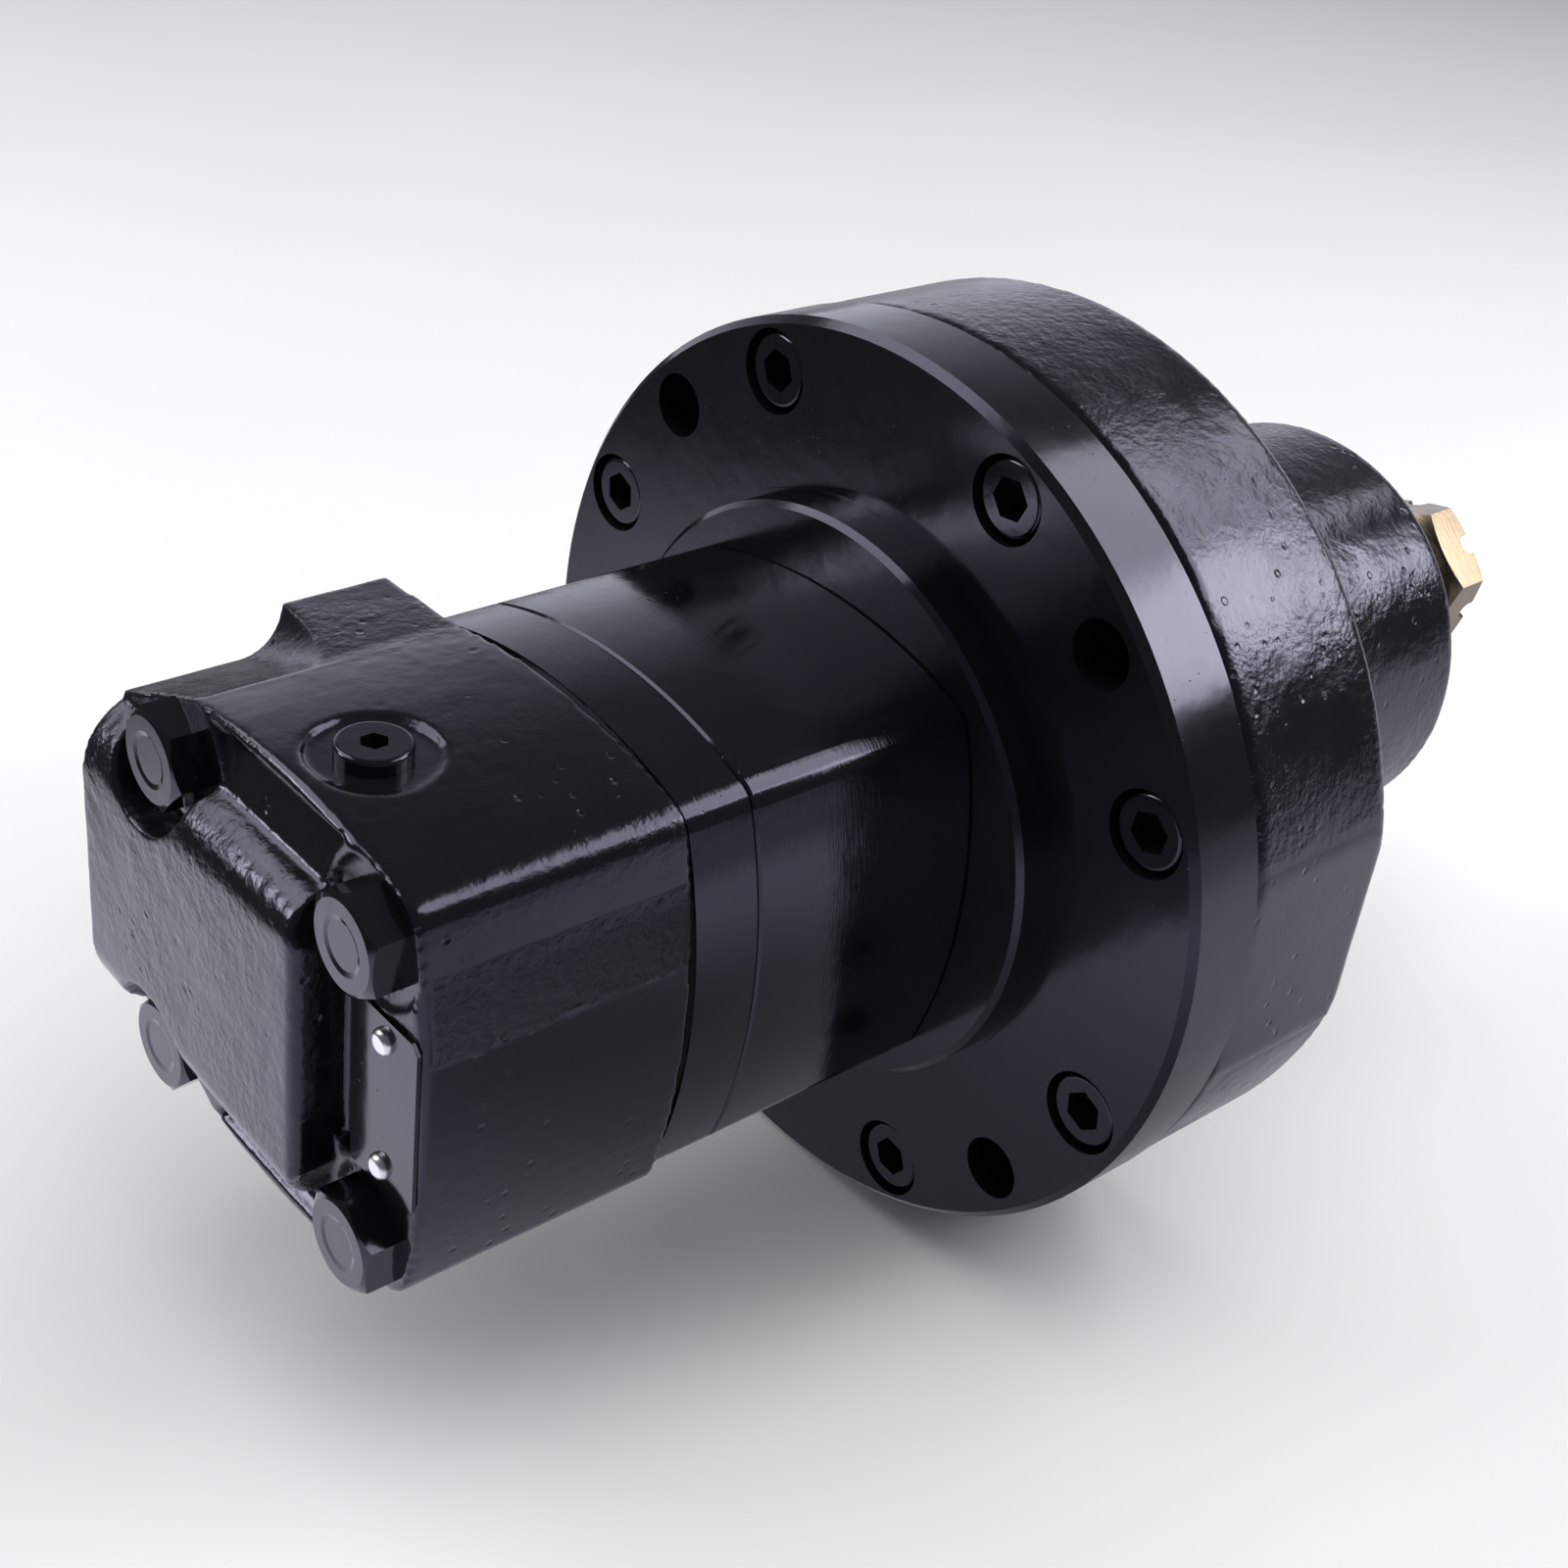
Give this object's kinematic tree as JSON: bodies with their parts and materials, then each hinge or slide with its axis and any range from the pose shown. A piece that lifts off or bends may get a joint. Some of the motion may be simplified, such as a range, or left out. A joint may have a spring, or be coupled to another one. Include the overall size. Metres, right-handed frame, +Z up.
{
  "type": "hydraulic motor",
  "caption": "Orbital hydraulic motor with disc valve, round mounting flange, spring-applied disc brake and tapered keyed output shaft with slotted nut.",
  "frame": {"origin": "centre of the mounting flange's rear face, on the shaft axis", "axes": "+X along the shaft towards the output end, +Y towards the face with the two main ports, +Z up towards the case drain plug"},
  "size_m": [0.36, 0.2, 0.2],
  "materials": {
    "gloss_black_casting": "thick gloss black enamel over a sand casting",
    "gloss_black_steel": "gloss black enamel over machined steel",
    "painted_plate": "black enamel over a thin plate",
    "bright_rivet": "bright plated",
    "yellow_zinc": "yellow zinc plate",
    "ground_steel": "ground and lightly oiled",
    "bearing_steel": "polished bearing steel",
    "spring_steel": "tempered steel",
    "friction_disc": "sintered friction facing",
    "seal_rubber": "moulded nitrile rubber"
  },
  "bodies": {
    "motor_frame": {"end_housing": "gloss_black_casting", "nameplate": "painted_plate", "nameplate_rivets": "bright_rivet", "drain_plug": "gloss_black_steel", "drain_plug_oring": "seal_rubber", "end_bolts": "gloss_black_steel", "balance_ring": "ground_steel", "balance_spring": "spring_steel", "balance_pins": "ground_steel", "valve_plate": "gloss_black_steel", "geroler_ring": "gloss_black_steel", "section_seals": "seal_rubber", "mounting_flange": "gloss_black_steel", "flange_screws": "gloss_black_steel", "brake_cover_seal": "seal_rubber", "brake_housing": "gloss_black_casting", "bearing_housing": "gloss_black_casting", "brake_stator_discs": "spring_steel", "brake_springs": "spring_steel", "rear_bearing_cup": "bearing_steel", "front_bearing_cup": "bearing_steel", "shaft_seal": "seal_rubber"},
    "output_shaft": {"output_shaft": "ground_steel", "shaft_key": "ground_steel", "castle_nut": "yellow_zinc", "rear_bearing_cone": "bearing_steel", "front_bearing_cone": "bearing_steel", "bearing_lock_nut": "ground_steel", "brake_rotor_discs": "friction_disc"},
    "drive_spacer": {"drive_spacer": "ground_steel"},
    "geroler_star": {"geroler_star": "ground_steel"},
    "drive_link": {"drive_link": "ground_steel"},
    "valve_drive": {"valve_drive": "ground_steel"},
    "disc_valve": {"disc_valve": "ground_steel"},
    "rear_bearing_rollers": {"rear_bearing_rollers": "bearing_steel", "rear_bearing_cage": "spring_steel"},
    "front_bearing_rollers": {"front_bearing_rollers": "bearing_steel", "front_bearing_cage": "spring_steel"},
    "brake_piston": {"brake_piston": "ground_steel", "piston_seals": "seal_rubber"},
    "roller_1": {"geroler_roller_1": "bearing_steel"},
    "roller_2": {"geroler_roller_2": "bearing_steel"},
    "roller_3": {"geroler_roller_3": "bearing_steel"},
    "roller_4": {"geroler_roller_4": "bearing_steel"},
    "roller_5": {"geroler_roller_5": "bearing_steel"},
    "roller_6": {"geroler_roller_6": "bearing_steel"},
    "roller_7": {"geroler_roller_7": "bearing_steel"}
  },
  "joints": [
    {"name": "shaft_spin", "type": "hinge", "parent": "motor_frame", "child": "output_shaft", "pos_m": [0, 0, 0], "axis": [1, 0, 0], "continuous": true},
    {"name": "spacer_orbit", "type": "hinge", "parent": "motor_frame", "child": "drive_spacer", "pos_m": [0, 0, 0], "axis": [1, 0, 0], "continuous": true},
    {"name": "star_spin", "type": "hinge", "parent": "drive_spacer", "child": "geroler_star", "pos_m": [-0.0356, 0.0027, 0], "axis": [1, 0, 0], "continuous": true},
    {"name": "link_spin", "type": "hinge", "parent": "drive_spacer", "child": "drive_link", "pos_m": [-0.03, 0.0027, 0], "axis": [0.9991, -0.0422, 0], "continuous": true},
    {"name": "valve_drive_spin", "type": "hinge", "parent": "drive_spacer", "child": "valve_drive", "pos_m": [-0.092, 0, 0], "axis": [0.9979, 0.0642, 0], "continuous": true},
    {"name": "disc_valve_spin", "type": "hinge", "parent": "motor_frame", "child": "disc_valve", "pos_m": [-0.088, 0, 0], "axis": [1, 0, 0], "continuous": true},
    {"name": "rear_bearing_spin", "type": "hinge", "parent": "motor_frame", "child": "rear_bearing_rollers", "pos_m": [0.075, 0, 0], "axis": [1, 0, 0], "continuous": true},
    {"name": "front_bearing_spin", "type": "hinge", "parent": "motor_frame", "child": "front_bearing_rollers", "pos_m": [0.12, 0, 0], "axis": [1, 0, 0], "continuous": true},
    {"name": "brake_release", "type": "slide", "parent": "motor_frame", "child": "brake_piston", "axis": [-1, 0, 0], "range_m": [0, 0.0015], "stiffness_N_per_m": 20000, "springref_m": -0.002, "deforming": ["brake_springs"]},
    {"name": "roller_1_spin", "type": "hinge", "parent": "motor_frame", "child": "roller_1", "pos_m": [-0.0356, 0.0315, 0], "axis": [1, 0, 0], "continuous": true},
    {"name": "roller_2_spin", "type": "hinge", "parent": "motor_frame", "child": "roller_2", "pos_m": [-0.0356, 0.01964, 0.02463], "axis": [1, 0, 0], "continuous": true},
    {"name": "roller_3_spin", "type": "hinge", "parent": "motor_frame", "child": "roller_3", "pos_m": [-0.0356, -0.00701, 0.03071], "axis": [1, 0, 0], "continuous": true},
    {"name": "roller_4_spin", "type": "hinge", "parent": "motor_frame", "child": "roller_4", "pos_m": [-0.0356, -0.02838, 0.01367], "axis": [1, 0, 0], "continuous": true},
    {"name": "roller_5_spin", "type": "hinge", "parent": "motor_frame", "child": "roller_5", "pos_m": [-0.0356, -0.02838, -0.01367], "axis": [1, 0, 0], "continuous": true},
    {"name": "roller_6_spin", "type": "hinge", "parent": "motor_frame", "child": "roller_6", "pos_m": [-0.0356, -0.00701, -0.03071], "axis": [1, 0, 0], "continuous": true},
    {"name": "roller_7_spin", "type": "hinge", "parent": "motor_frame", "child": "roller_7", "pos_m": [-0.0356, 0.01964, -0.02463], "axis": [1, 0, 0], "continuous": true}
  ],
  "couplings": [
    {"joint": "spacer_orbit", "follows": "shaft_spin", "ratio": -6},
    {"joint": "star_spin", "follows": "shaft_spin", "ratio": 7},
    {"joint": "link_spin", "follows": "shaft_spin", "ratio": 7},
    {"joint": "valve_drive_spin", "follows": "shaft_spin", "ratio": 7},
    {"joint": "disc_valve_spin", "follows": "shaft_spin", "ratio": 1},
    {"joint": "rear_bearing_spin", "follows": "shaft_spin", "ratio": 0.43795},
    {"joint": "front_bearing_spin", "follows": "shaft_spin", "ratio": 0.43795}
  ]
}
